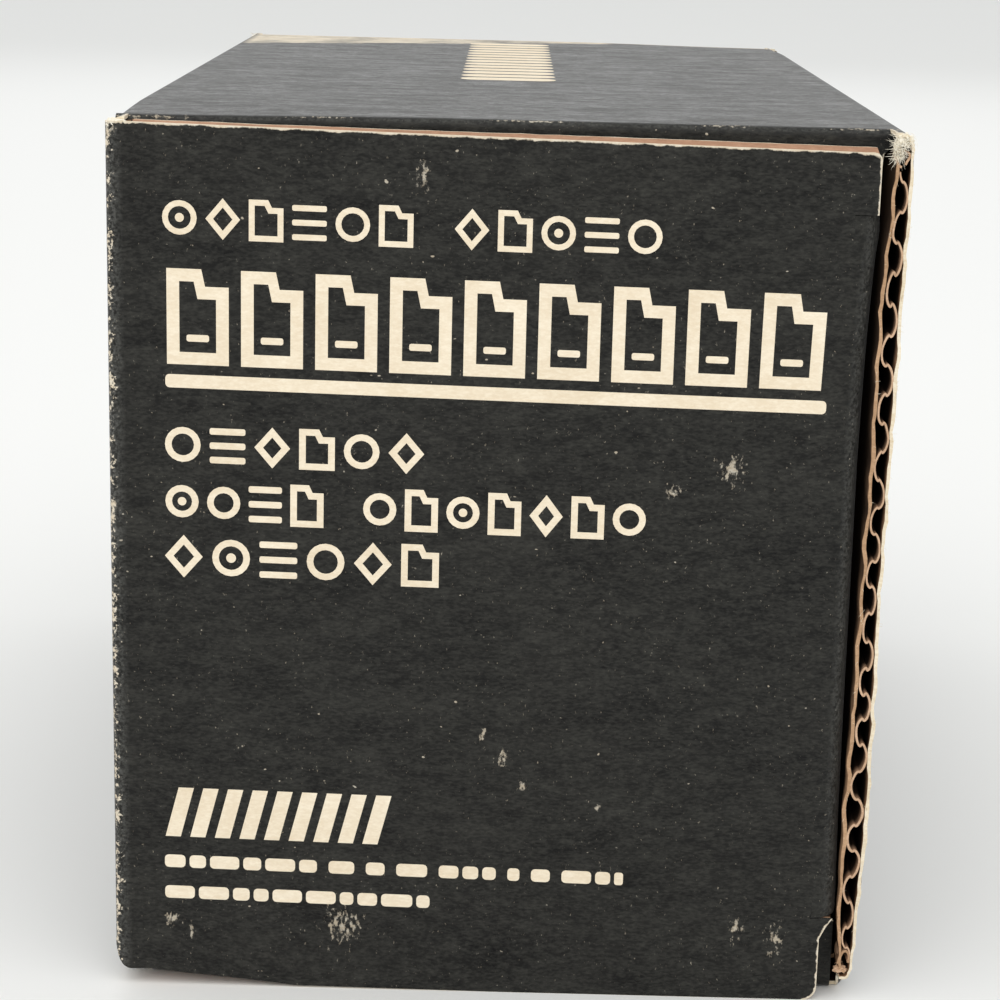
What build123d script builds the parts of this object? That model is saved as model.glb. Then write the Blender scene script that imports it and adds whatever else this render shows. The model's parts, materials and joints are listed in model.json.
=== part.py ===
from build123d import *
import os
from math import ceil, cos, pi, sqrt

# A tuck-end carton of single-wall fluted board, standing closed and empty. Millimetres throughout: X runs across
# the closed end, Y along the tube with the printed end at -Y, and Z up from the table. Every flap is built where it
# lies when the carton is shut. Both ends are alike: the rear one is the front one turned half round about Z, so the
# front closure hangs on the left wall and the rear closure on the right wall.

# The closed carton, outside.
carton_width = 85.0
carton_length = 146.0
carton_height = 98.0

# The board, from its printed face inwards.
printed_liner = 0.4
flute_height = 2.0
inner_liner = 0.4
medium_sheet = 0.3
flute_pitch = 6.3
steps_per_flute = 8

# The folded tube.
tube_corner_radius = 2.0
inner_corner_radius = 0.4
raw_edge_setback = 0.4

# The glued seam along the lower left corner.
glue_flap_length = 22.0
glue_film = 0.15
glue_margin = 3.0
seam_edge_inset = 0.5

# Creases that open outwards: a quarter round of printed liner about the hinge line, and a short straight run.
fold_radius = 1.0
crease_reach = 1.1
turning_clearance = 0.2
behind_fold = 0.3

# The two closures and their tuck flaps. A closure hangs a little lower at its free side than at its hinge. The cut
# shoulders above and below its tuck fold stand back from that fold, and lean out to meet it.
closure_top_drop = 0.8
closure_floor_gap = 0.4
closure_sag = 1.4
closure_corner_radius = 1.5
tuck_wall_gap = 1.15
top_shoulder_length = 6.5
top_shoulder_inset = 0.4
bottom_shoulder_length = 9.5
bottom_shoulder_inset = 1.6
shoulder_tip_inset = 0.4
shoulder_flare = 2.4
tuck_length = 22.0
tuck_end_gap = 0.5
tuck_corner_radius = 9.0
tuck_fold_clearance = 0.15

# The dust flaps, which fold in behind the closures.
dust_flap_length = 40.0
dust_flap_gap = 0.4
dust_side_gap = 0.8
dust_taper = 0.52
dust_shoulder_gap = 1.5
dust_tuck_gap = 1.3
dust_corner_radius = 5.0

# What follows from these.
board = printed_liner + flute_height + inner_liner
left = -carton_width / 2
right = carton_width / 2
front = -carton_length / 2
rear = carton_length / 2
seam_height = board + glue_film

# A flap's plies start this far from its hinge line, so that they turn clear of the crease.
crease_sweep = sqrt(crease_reach**2 + fold_radius**2) + turning_clearance
flap_setback = sqrt(crease_sweep**2 - (fold_radius - printed_liner) ** 2)

closure_top = carton_height - closure_top_drop
closure_bottom = closure_floor_gap + closure_sag
closure_start = left + fold_radius + flap_setback
tuck_face = right - board - tuck_wall_gap
tuck_axis_x = tuck_face - board - tuck_fold_clearance
tuck_axis_y = front + board + tuck_fold_clearance
tuck_fold_bottom = closure_bottom - closure_sag + bottom_shoulder_length
tuck_fold_top = closure_top - closure_sag - top_shoulder_length
tuck_bottom = tuck_fold_bottom + tuck_end_gap
tuck_top = tuck_fold_top - tuck_end_gap

dust_face = front + board + dust_flap_gap
dust_axis_y = dust_face + fold_radius
dust_root = fold_radius + flap_setback
dust_left = left + board + dust_side_gap
dust_right = right - board - dust_side_gap
dust_tuck_side = tuck_face - board - dust_tuck_gap
dust_shoulders = {
    1: carton_height - tuck_fold_top - dust_shoulder_gap,
    -1: tuck_fold_bottom - dust_shoulder_gap,
}

# Where the tube's plies begin behind a closure's crease and behind a dust flap's crease.
behind_closure = front + board + behind_fold
behind_dust_flap = dust_face + board + behind_fold

half_turns = {"front": Location(), "rear": Location((0, 0, 0), (0, 0, 180))}


def turned(turn, plane):
    """A plane of the front end, carried to the end that turn gives."""
    return Plane(turn * plane.location)


def keep(name, builder):
    """Labels a finished piece and writes it."""
    builder.part.label = name
    export_step(builder.part, f"parts/{name}.step")


def wave(span):
    """The medium's cross-section, centred on X and rising along Y from the printed liner to the inner one. It has
    whole flutes that reach past the span, and each crest has a narrow flat where it is glued."""
    count = ceil(span / flute_pitch) + 1
    step = flute_pitch / steps_per_flute
    swing = (flute_height - medium_sheet) / 2 / cos(pi / steps_per_flute)
    start = -count * flute_pitch / 2
    upper = []
    for k in range(count * steps_per_flute):
        middle = flute_height / 2 + swing * cos(2 * pi * (k + 0.5) / steps_per_flute)
        upper.append((start + (k + 0.5) * step, middle + medium_sheet / 2))
    lower = [(x, y - medium_sheet) for x, y in reversed(upper)]
    with BuildSketch() as section:
        with BuildLine():
            Polyline(*upper, *lower, close=True)
        make_face()
    return section.sketch


def fluted_medium(face_plane, outline, wave_plane, span, run):
    """The fluted sheet inside a panel: the panel's outline, filled with flutes that run along wave_plane's normal."""
    section = wave(span)
    with BuildPart() as medium:
        with BuildSketch(face_plane):
            add(outline)
        extrude(amount=-board)
        with BuildSketch(wave_plane):
            add(section)
        extrude(amount=run, mode=Mode.INTERSECT)
    return medium


def flap(name, face_plane, outline, wave_plane, span, run):
    """A flap's three plies. face_plane lies on its printed face and looks outwards."""
    with BuildPart() as outer:
        with BuildSketch(face_plane):
            add(outline)
        extrude(amount=-printed_liner)
    keep(f"{name}_outer_liner", outer)
    with BuildPart() as inner:
        with BuildSketch(face_plane.offset(inner_liner - board)):
            add(outline)
        extrude(amount=-inner_liner)
    keep(f"{name}_inner_liner", inner)
    keep(f"{name}_flutes", fluted_medium(face_plane, outline, wave_plane, span, run))


# ---------------------------------------------------------------- the tube

def folded_path(depth):
    """The tube's cross-section at a depth below the printed face, from the bottom panel's raw edge on the left,
    round the four walls and in along the glue flap."""
    return [
        (left + seam_edge_inset, depth),
        (right - depth, depth),
        (right - depth, carton_height - depth),
        (left + depth, carton_height - depth),
        (left + depth, seam_height + depth),
        (left + glue_flap_length, seam_height + depth),
    ]


def folded_liner(near, far, near_radius, far_radius, side_start, panel_start):
    """A liner folded round the tube between two depths. At each end the wall that carries the closure is cut back
    to side_start, and the top and the bottom to panel_start. The glue flap ends behind the dust flaps."""
    with BuildPart() as liner:
        with BuildSketch(Plane.XZ.offset(rear - raw_edge_setback)):
            with BuildLine():
                outside = FilletPolyline(*folded_path(near), radius=near_radius)
                inside = FilletPolyline(*folded_path(far), radius=far_radius)
                Line(outside @ 0, inside @ 0)
                Line(outside @ 1, inside @ 1)
            make_face()
        extrude(amount=-(carton_length - 2 * raw_edge_setback))
        for turn in half_turns.values():
            with BuildSketch(turned(turn, Plane.XY)):
                with Locations((left, front)):
                    Rectangle(2 * board, 2 * (side_start - front))
            extrude(amount=carton_height, mode=Mode.SUBTRACT)
            flap_roots = Plane.YZ.offset(left + tube_corner_radius)
            with BuildSketch(turned(turn, flap_roots)):
                with Locations((front, 0), (front, carton_height)):
                    Rectangle(2 * (panel_start - front), 4 * seam_height)
            extrude(amount=carton_width - tube_corner_radius - board, mode=Mode.SUBTRACT)
        with BuildSketch(Plane.XY.offset(seam_height)):
            with Locations((left + tube_corner_radius, front), (left + tube_corner_radius, rear)):
                Rectangle(glue_flap_length, 2 * (behind_dust_flap - front), align=(Align.MIN, Align.CENTER))
        extrude(amount=board + inner_liner + inner_corner_radius, mode=Mode.SUBTRACT)
    return liner


keep(
    "tube_outer_liner",
    folded_liner(
        0,
        printed_liner,
        tube_corner_radius,
        tube_corner_radius - printed_liner,
        front + fold_radius,
        dust_axis_y,
    ),
)
keep(
    "tube_inner_liner",
    folded_liner(
        board - inner_liner,
        board,
        inner_corner_radius + inner_liner,
        inner_corner_radius,
        behind_closure,
        behind_dust_flap,
    ),
)


def wall_flutes(name, corner, across, span, start, end):
    """The fluted medium of one wall of the tube. corner is where the wall's printed face begins, in X and Z, and
    across is the way round the tube from there."""
    inwards = Vector(0, 1, 0).cross(across)
    middle = Vector(corner[0], start, corner[1]) + across * (span / 2)
    wave_plane = Plane(origin=middle + inwards * printed_liner, x_dir=across, z_dir=(0, 1, 0))
    face_plane = Plane(origin=middle, x_dir=across, z_dir=inwards * -1)
    with BuildSketch() as outline:
        Rectangle(span, end - start, align=(Align.CENTER, Align.MIN))
    keep(name, fluted_medium(face_plane, outline.sketch, wave_plane, span, end - start))


side_span = carton_height - 2 * tube_corner_radius
raw_start = front + raw_edge_setback
up = Vector(0, 0, 1)
rightwards = Vector(1, 0, 0)

wall_flutes(
    "tube_left_flutes",
    (left, seam_height + tube_corner_radius),
    up,
    side_span - seam_height,
    behind_closure,
    -raw_start,
)
wall_flutes(
    "tube_top_flutes",
    (left + board, carton_height),
    rightwards,
    carton_width - 2 * board,
    behind_dust_flap,
    -behind_dust_flap,
)
wall_flutes(
    "tube_right_flutes",
    (right, carton_height - tube_corner_radius),
    up * -1,
    side_span,
    raw_start,
    -behind_closure,
)
wall_flutes(
    "tube_bottom_flutes",
    (right - board, 0),
    rightwards * -1,
    carton_width - board - seam_edge_inset,
    behind_dust_flap,
    -behind_dust_flap,
)
wall_flutes(
    "glue_flap_flutes",
    (left + glue_flap_length, seam_height),
    rightwards * -1,
    glue_flap_length - board,
    behind_dust_flap,
    -behind_dust_flap,
)

with BuildPart() as seam_adhesive:
    with BuildSketch(Plane.XY.offset(board)):
        with Locations((left + board + glue_margin, 0)):
            Rectangle(
                glue_flap_length - board - 2 * glue_margin,
                2 * (rear - board - 2 * glue_margin),
                align=(Align.MIN, Align.CENTER),
            )
    extrude(amount=glue_film)
keep("seam_adhesive", seam_adhesive)


# ---------------------------------------------------------------- creases

def outward_crease(name, axis_plane, length):
    """The printed liner where it bends over a fold that opens outwards. The hinge line is axis_plane's origin and
    normal, the flap lies along its X and the printed faces look along its -X and -Y."""
    under_radius = fold_radius - printed_liner
    with BuildPart() as crease:
        with BuildSketch(axis_plane):
            with BuildLine():
                over = CenterArc((0, 0), fold_radius, 180, 90)
                Polyline(
                    over @ 1,
                    (crease_reach, -fold_radius),
                    (crease_reach, -under_radius),
                    (0, -under_radius),
                )
                under = CenterArc((0, 0), under_radius, 180, 90)
                Line(under @ 0, over @ 0)
            make_face()
        extrude(amount=length)
    keep(name, crease)


def tuck_crease(name, turn):
    """The printed liner round the fold of a tuck flap, a quarter round about the fold's inner corner."""
    over_radius = board + tuck_fold_clearance
    with BuildPart() as crease:
        with BuildSketch(turned(turn, Plane((tuck_axis_x, tuck_axis_y, tuck_bottom)))):
            with BuildLine():
                over = CenterArc((0, 0), over_radius, -90, 90)
                under = CenterArc((0, 0), over_radius - printed_liner, -90, 90)
                Line(over @ 0, under @ 0)
                Line(over @ 1, under @ 1)
            make_face()
        extrude(amount=tuck_top - tuck_bottom)
    keep(name, crease)


# ---------------------------------------------------------------- flaps

def hanging(x, height):
    """A point of the closure, let down by its share of the sag."""
    return (x, height - closure_sag * (x - closure_start) / (tuck_face - closure_start))


def closure_outline():
    """A closure from its crease to the tuck fold, with a cut shoulder past each end of that fold."""
    bottom_cut = tuck_face - bottom_shoulder_inset
    top_cut = tuck_face - top_shoulder_inset
    tip = tuck_face - shoulder_tip_inset
    with BuildSketch() as outline:
        with BuildLine():
            Polyline(
                (closure_start, closure_bottom),
                hanging(bottom_cut, closure_bottom),
                (bottom_cut, tuck_fold_bottom - shoulder_flare),
                (tip, tuck_fold_bottom),
                (tuck_axis_x, tuck_fold_bottom),
                (tuck_axis_x, tuck_fold_top),
                (tip, tuck_fold_top),
                (top_cut, tuck_fold_top + shoulder_flare),
                hanging(top_cut, closure_top),
                (closure_start, closure_top),
                close=True,
            )
        make_face()
        free_side = outline.vertices().filter_by_position(Axis.X, tuck_axis_x, right, inclusive=(False, False))
        by_height = free_side.sort_by(Axis.Y)
        fillet([by_height[0], by_height[-1]], closure_corner_radius)
    return outline.sketch


def tuck_outline():
    """A tuck flap, with both corners of its free edge well rounded so that it enters the tube."""
    tuck_start = tuck_axis_y + tuck_fold_clearance
    with BuildSketch() as outline:
        with Locations((tuck_start, tuck_bottom)):
            Rectangle(front + tuck_length - tuck_start, tuck_top - tuck_bottom, align=(Align.MIN, Align.MIN))
        fillet(outline.vertices().group_by(Axis.X)[-1], tuck_corner_radius)
    return outline.sketch


def dust_outline(side):
    """A dust flap, hanging from the top for side 1 and standing on the bottom for side -1. The edge beside the
    closure's hinge leans away from it. The other edge steps in past its shoulder to let the tuck flap by, and ends
    in a rounded corner."""
    middle = carton_height / 2

    def at(x, from_panel):
        return (x, middle + side * (middle - from_panel))

    lean = dust_taper * (dust_flap_length - dust_root)
    with BuildSketch() as outline:
        with BuildLine():
            Polyline(
                at(dust_left, dust_root),
                at(dust_right, dust_root),
                at(dust_right, dust_shoulders[side]),
                at(dust_tuck_side, dust_shoulders[side]),
                at(dust_tuck_side, dust_flap_length),
                at(dust_left + lean, dust_flap_length),
                close=True,
            )
        make_face()
        free_edge = outline.vertices().group_by(Axis.Y)[0 if side > 0 else -1]
        fillet(free_edge.sort_by(Axis.X)[-1], dust_corner_radius)
    return outline.sketch


for end, turn in half_turns.items():
    closure_height = closure_top - closure_bottom
    closure_middle = (closure_top + closure_bottom) / 2
    closure_waves = Plane(
        (left, front + printed_liner, closure_middle),
        x_dir=(0, 0, -1),
        z_dir=(tuck_face - closure_start, 0, -closure_sag),
    )
    flap(
        f"{end}_closure",
        turned(turn, Plane.XZ.offset(-front)),
        closure_outline(),
        turned(turn, closure_waves),
        closure_height,
        carton_width,
    )
    closure_hinge = Plane((left + fold_radius, front + fold_radius, closure_bottom))
    outward_crease(f"{end}_closure_crease", turned(turn, closure_hinge), closure_height)

    tuck_waves = Plane((tuck_face - printed_liner, front, closure_middle), x_dir=(0, 0, -1), z_dir=(0, 1, 0))
    flap(
        f"{end}_tuck_flap",
        turned(turn, Plane.YZ.offset(tuck_face)),
        tuck_outline(),
        turned(turn, tuck_waves),
        closure_height,
        tuck_length + board,
    )
    tuck_crease(f"{end}_tuck_crease", turn)

    for panel, side in (("top", 1), ("bottom", -1)):
        wave_top = carton_height if side > 0 else dust_flap_length + board
        dust_waves = Plane((0, dust_face + printed_liner, wave_top), x_dir=(-1, 0, 0), z_dir=(0, 0, -1))
        flap(
            f"{end}_{panel}_dust_flap",
            turned(turn, Plane.XZ.offset(-dust_face)),
            dust_outline(side),
            turned(turn, dust_waves),
            carton_width,
            dust_flap_length + board,
        )
    dust_width = dust_right - dust_left
    top_hinge = Plane((dust_left, dust_axis_y, carton_height - fold_radius), x_dir=(0, 0, -1), z_dir=(1, 0, 0))
    outward_crease(f"{end}_top_dust_crease", turned(turn, top_hinge), dust_width)
    bottom_hinge = Plane((dust_right, dust_axis_y, fold_radius), x_dir=(0, 0, 1), z_dir=(-1, 0, 0))
    outward_crease(f"{end}_bottom_dust_crease", turned(turn, bottom_hinge), dust_width)
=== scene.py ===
"""A closed tuck-end carton of single-wall fluted board, black print on pale paper, with worn folds and one
raw, torn board edge towards the viewer. Metres in the mesh, millimetres in the sizes below and in the
materials. The front closure hangs on the left wall; the rear end is the front end turned half round."""

import json
import math
import random

import bmesh
import bpy
from mathutils import Matrix, Vector, kdtree, noise


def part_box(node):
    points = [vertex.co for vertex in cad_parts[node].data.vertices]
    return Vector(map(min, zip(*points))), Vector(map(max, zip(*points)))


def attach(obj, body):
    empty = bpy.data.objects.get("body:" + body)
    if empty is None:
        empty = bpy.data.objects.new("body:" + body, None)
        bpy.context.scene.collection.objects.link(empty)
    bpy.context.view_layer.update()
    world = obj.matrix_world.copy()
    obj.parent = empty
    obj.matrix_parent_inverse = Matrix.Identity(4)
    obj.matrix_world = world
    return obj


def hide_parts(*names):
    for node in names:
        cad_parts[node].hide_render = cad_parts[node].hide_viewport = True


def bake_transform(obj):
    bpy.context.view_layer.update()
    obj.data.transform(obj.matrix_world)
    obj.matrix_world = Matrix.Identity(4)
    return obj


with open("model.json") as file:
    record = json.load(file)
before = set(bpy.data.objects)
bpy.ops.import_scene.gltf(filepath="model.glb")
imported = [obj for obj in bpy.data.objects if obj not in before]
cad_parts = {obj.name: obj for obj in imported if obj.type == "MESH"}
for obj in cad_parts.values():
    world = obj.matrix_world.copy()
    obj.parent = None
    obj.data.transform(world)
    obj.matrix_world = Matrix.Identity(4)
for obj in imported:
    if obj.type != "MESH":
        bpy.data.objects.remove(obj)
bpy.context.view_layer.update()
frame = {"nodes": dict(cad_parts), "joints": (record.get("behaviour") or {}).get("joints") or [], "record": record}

MM = 0.001
UP = Vector((0, 0, 1))
ACROSS = Vector((1, 0, 0))
INWARDS = Vector((0, 1, 0))
STILL = Vector((0, 0, 0))
ENDS = {"front": 0.0, "rear": math.pi}  # the turn about the carton's middle that each end is made with
FLAT_ANGLE = math.radians(0.5)
SHARP_ANGLE = math.radians(35)
SAME_PLACE = 0.001
joints = {joint["name"]: joint for joint in frame["joints"]}


# ---------------------------------------------------------------- sizes, in millimetres

def edges_of(node):
    """Lowest and highest corner of a CAD node, in millimetres."""
    low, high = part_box(node)
    return low / MM, high / MM


tube_low, tube_high = edges_of("tube_outer_liner")
closure_low, closure_high = edges_of("front_closure_outer_liner")
crease_low, crease_high = edges_of("front_closure_crease")
lining_low, lining_high = edges_of("front_closure_inner_liner")
medium_low, medium_high = edges_of("tube_right_flutes")

left, right = tube_low.x, tube_high.x
front = closure_low.y
top = tube_high.z
liner = closure_high.y - closure_low.y
board = lining_high.y - front
wall_front = tube_low.y
hinge = Vector(joints["front_closure_hinge"]["pos_m"]) / MM
tuck_axis = Vector(joints["front_tuck_fold"]["pos_m"]) / MM
dust_axis = Vector(joints["front_top_dust_hinge"]["pos_m"]) / MM
closure_sag = crease_low.z - closure_low.z
closure_reach = closure_high.x - closure_low.x
tilt = closure_sag / closure_reach


def sagged(x, z):
    """A height on the closure at x, let down as the closure hangs."""
    return z - (x - closure_low.x) * tilt


# ---------------------------------------------------------------- colours

BLACK_PRINT = (0.0028, 0.0028, 0.0027)
RUBBED_PRINT = (0.056, 0.055, 0.048)
SCUFFED_PRINT = (0.16, 0.16, 0.15)
WORN_PAPER = (0.80, 0.75, 0.64)
CREAM_SHADE = (0.66, 0.56, 0.42)
KRAFT_LIGHT = (0.42, 0.255, 0.145)
KRAFT_DARK = (0.27, 0.150, 0.080)
MEDIUM_LIGHT = (0.52, 0.335, 0.215)
MEDIUM_DARK = (0.30, 0.175, 0.105)
DRIED_GLUE = (0.72, 0.66, 0.48)
GLUE_SHADE = (0.55, 0.49, 0.34)
# Painted shade: a near-black brown that stands for shade inside the flutes and in the gap beside the tuck flap
PAINTED_SHADE = (0.030, 0.016, 0.009)
PRINTED_CREAM = (0.93, 0.84, 0.68)
PRINTED_CREAM_SHADE = (0.76, 0.64, 0.47)
RAW_MEDIUM_LIGHT = (0.72, 0.50, 0.34)
RAW_MEDIUM_DARK = (0.46, 0.29, 0.18)
RAW_KRAFT_LIGHT = (0.60, 0.39, 0.235)
RAW_KRAFT_DARK = (0.36, 0.215, 0.12)
TORN_LIGHT = (0.93, 0.86, 0.72)
TORN_DARK = (0.70, 0.58, 0.40)
FRAYED_LIGHT = (0.95, 0.92, 0.84)
FRAYED_DARK = (0.78, 0.71, 0.56)
CLOSURE_MEDIUM_LIGHT = (0.54, 0.315, 0.20)
CLOSURE_MEDIUM_DARK = (0.34, 0.18, 0.11)


# ---------------------------------------------------------------- node helpers

def add(tree, kind, inputs=(), **settings):
    """A node with its settings, its inputs given by name or number as values or as sockets."""
    made = tree.nodes.new(kind)
    for name, value in settings.items():
        setattr(made, name, value)
    for name, value in dict(inputs).items():
        if isinstance(value, bpy.types.NodeSocket):
            tree.links.new(value, made.inputs[name])
        else:
            made.inputs[name].default_value = value
    return made


def calc(tree, operation, first, second=0.0, third=0.0, clamp=False):
    """One step of arithmetic, as an output socket."""
    inputs = {0: first, 1: second, 2: third}
    return add(tree, "ShaderNodeMath", inputs, operation=operation, use_clamp=clamp).outputs[0]


def vector_calc(tree, operation, first, second=(0, 0, 0), output="Vector"):
    """One step of arithmetic on vectors."""
    return add(tree, "ShaderNodeVectorMath", {0: first, 1: second}, operation=operation).outputs[output]


def ramp(tree, value, low, high):
    """Rises from 0 at low to 1 at high. Falls where low is the larger."""
    inputs = {"Value": value, "From Min": low, "From Max": high}
    return add(tree, "ShaderNodeMapRange", inputs, clamp=True).outputs["Result"]


def grain(tree, place, scale, seed, detail=2.0, roughness=0.5, stretch=(1, 1, 1)):
    """Noise about 0.5, with scale in turns per millimetre, drawn out along an axis by a small stretch."""
    where = vector_calc(tree, "MULTIPLY", place, stretch)
    inputs = {"Vector": where, "W": seed, "Scale": scale, "Detail": detail, "Roughness": roughness}
    return add(tree, "ShaderNodeTexNoise", inputs, noise_dimensions="4D").outputs["Fac"]


def mix(tree, share, first, second):
    """A colour between two others."""
    made = add(tree, "ShaderNodeMix", {0: share}, data_type="RGBA")
    for socket, value in ((made.inputs[6], first), (made.inputs[7], second)):
        if isinstance(value, bpy.types.NodeSocket):
            tree.links.new(value, socket)
        else:
            socket.default_value = (*value, 1)
    return made.outputs[2]


def new_group(name, inputs, outputs):
    """An empty node group with float and vector inputs and float outputs."""
    group = bpy.data.node_groups.new(name, "ShaderNodeTree")
    for label, kind in inputs:
        group.interface.new_socket(label, in_out="INPUT", socket_type=kind)
    for label in outputs:
        group.interface.new_socket(label, in_out="OUTPUT", socket_type="NodeSocketFloat")
    return group, group.nodes.new("NodeGroupInput").outputs, group.nodes.new("NodeGroupOutput").inputs


def use(tree, group, inputs):
    """A shared effect placed in a material, as its output sockets."""
    return add(tree, "ShaderNodeGroup", inputs, node_tree=group).outputs


# ---------------------------------------------------------------- shared effects

def make_paper_fibre():
    """Short fibres lying across the sheet, and the cloudy formation of the paper behind them."""
    group, given, out = new_group(
        "paper_fibre",
        [("Place", "NodeSocketVector"), ("Seed", "NodeSocketFloat")],
        ["Fibre", "Cloud", "Height"],
    )
    fine = grain(group, given["Place"], 3.8, given["Seed"], 3.0, 0.66, (0.42, 0.8, 1))
    coarse = grain(group, given["Place"], 1.5, given["Seed"], 3.0, 0.6, (0.4, 0.8, 1))
    cloud = grain(group, given["Place"], 0.11, given["Seed"], 2.0, 0.5)
    both = calc(group, "ADD", calc(group, "MULTIPLY", fine, 0.6), calc(group, "MULTIPLY", coarse, 0.4))
    group.links.new(ramp(group, both, 0.43, 0.66), out["Fibre"])
    group.links.new(ramp(group, cloud, 0.3, 0.7), out["Cloud"])
    group.links.new(both, out["Height"])
    return group


def make_print_wear():
    """Where black print has come off the paper: raggedly along cut edges and folds, and in specks all over.
    From Cut and From Fold are distances in millimetres."""
    group, given, out = new_group(
        "print_wear",
        [
            ("Place", "NodeSocketVector"),
            ("From Cut", "NodeSocketFloat"),
            ("From Fold", "NodeSocketFloat"),
            ("Cut Width", "NodeSocketFloat"),
            ("Fold Width", "NodeSocketFloat"),
            ("Seed", "NodeSocketFloat"),
        ],
        ["Wear", "Rub"],
    )
    place, seed = given["Place"], given["Seed"]
    ragged = grain(group, place, 0.9, seed, 4.0, 0.7)
    fine = grain(group, place, 3.1, seed, 2.0, 0.6)
    cut_share = calc(group, "MULTIPLY_ADD", ramp(group, ragged, 0.3, 0.7), 0.75, 0.35)
    cut_reach = calc(group, "MULTIPLY", cut_share, given["Cut Width"])
    at_cut = ramp(group, calc(group, "SUBTRACT", cut_reach, given["From Cut"]), -0.04, 0.05)
    coarse_part = calc(group, "MULTIPLY", ragged, 0.55)
    fold_noise = calc(group, "ADD", coarse_part, calc(group, "MULTIPLY", fine, 0.45))
    fold_reach = calc(group, "MULTIPLY", ramp(group, fold_noise, 0.44, 0.66), given["Fold Width"])
    at_fold = ramp(group, calc(group, "SUBTRACT", fold_reach, given["From Fold"]), 0.0, 0.3)
    sparse = grain(group, place, 0.16, seed, 2.0, 0.5)
    speck = grain(group, place, 1.7, seed, 1.0, 0.4, (0.7, 1, 1))
    limit = calc(group, "MULTIPLY_ADD", sparse, -0.16, 0.855)
    at_speck = ramp(group, calc(group, "SUBTRACT", speck, limit), 0.0, 0.04)
    at_edges = calc(group, "MAXIMUM", at_cut, at_fold)
    wear = calc(group, "MAXIMUM", at_edges, calc(group, "MULTIPLY", at_speck, 0.6))
    near_fold = calc(group, "MULTIPLY", given["Fold Width"], 1.3)
    by_fold = ramp(group, given["From Fold"], near_fold, 0.0)
    rub = calc(group, "MULTIPLY", by_fold, ramp(group, fine, 0.40, 0.62))
    group.links.new(wear, out["Wear"])
    group.links.new(rub, out["Rub"])
    return group


def make_scuff():
    """A patch of small pale flecks about Centre, within Reach on each axis."""
    group, given, out = new_group(
        "scuff",
        [
            ("Place", "NodeSocketVector"),
            ("Centre", "NodeSocketVector"),
            ("Reach", "NodeSocketVector"),
            ("Seed", "NodeSocketFloat"),
        ],
        ["Mask"],
    )
    away = vector_calc(group, "SUBTRACT", given["Place"], given["Centre"])
    scaled = vector_calc(group, "DIVIDE", away, given["Reach"])
    distance = vector_calc(group, "LENGTH", scaled, output="Value")
    fleck = grain(group, given["Place"], 2.4, given["Seed"], 3.0, 0.65, (1, 1, 0.6))
    lift = calc(group, "MULTIPLY", ramp(group, distance, 1.0, 0.0), 0.30)
    flecks = ramp(group, calc(group, "ADD", fleck, lift), 0.70, 0.82)
    group.links.new(calc(group, "MULTIPLY", flecks, 0.62), out["Mask"])
    return group


paper_fibre = make_paper_fibre()
print_wear = make_print_wear()
scuff = make_scuff()


# ---------------------------------------------------------------- materials

def new_material(name):
    """A material with its node tree and its shader."""
    material = bpy.data.materials.new(name)
    material.use_nodes = True
    tree = material.node_tree
    return material, tree, tree.nodes["Principled BSDF"]


def place_on(tree, attribute=None):
    """Where a point of the surface lies at rest, in millimetres: from the object, or from the piece's own
    attribute where the piece bends."""
    if attribute:
        place = add(tree, "ShaderNodeAttribute", attribute_name=attribute).outputs["Vector"]
    else:
        place = tree.nodes.new("ShaderNodeTexCoord").outputs["Object"]
    return vector_calc(tree, "MULTIPLY", place, (1 / MM, 1 / MM, 1 / MM))


def finish_surface(tree, shader, colour, height, strength, distance=0.05 * MM):
    """Gives a shader its colour and its relief."""
    tree.links.new(colour, shader.inputs["Base Color"])
    bump = add(tree, "ShaderNodeBump", {"Height": height, "Strength": strength, "Distance": distance})
    tree.links.new(bump.outputs["Normal"], shader.inputs["Normal"])


def plain_paper(name, light, dark, seed, strength=0.5, shaded=None):
    """Unprinted paper: fibres, formation and a little darkening. shaded gives a mask for painted shade."""
    material, tree, shader = new_material(name)
    place = place_on(tree)
    fibre = use(tree, paper_fibre, {"Place": place, "Seed": seed})
    shade = calc(tree, "MULTIPLY_ADD", fibre["Fibre"], 0.6, calc(tree, "MULTIPLY", fibre["Cloud"], 0.4))
    colour = mix(tree, shade, dark, light)
    # Painted shade: the paper darkens towards the near-black brown where the mask says shade falls
    if shaded:
        colour = mix(tree, shaded(tree, place), colour, PAINTED_SHADE)
    shader.inputs["Roughness"].default_value = 0.85
    shader.inputs["Specular IOR Level"].default_value = 0.25
    finish_surface(tree, shader, colour, fibre["Height"], strength)
    return material


def from_board_edge(tree, place):
    """How far a point lies inside the carton from its nearer end, in millimetres."""
    along = add(tree, "ShaderNodeSeparateXYZ", {0: place}).outputs["Y"]
    return calc(tree, "SUBTRACT", -wall_front, calc(tree, "ABSOLUTE", along))


def painted_shade_in_flutes(tree, place):
    """Painted shade inside the flutes: the paper darkens from 0.15 mm to 1.6 mm in from the carton's ends, so the
    raw ends keep their own colour.
    """
    return ramp(tree, from_board_edge(tree, place), 0.15, 1.6)


def painted_shade_beside_flap(tree, place):
    """Painted shade in the narrow gap beside the tuck flap: the wall's lining darkens from just inside each end
    and fades out between 18 and 30 mm in.
    """
    depth = from_board_edge(tree, place)
    parts = add(tree, "ShaderNodeSeparateXYZ", {0: place}).outputs
    beside = ramp(tree, calc(tree, "ABSOLUTE", parts["X"]), right - board - 0.6, right - board - 0.1)
    rub_and_shade = calc(tree, "MULTIPLY", ramp(tree, depth, 0.05, 0.5), ramp(tree, depth, 30.0, 18.0))
    return calc(tree, "MULTIPLY", calc(tree, "MULTIPLY", rub_and_shade, beside), 0.94)


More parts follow.
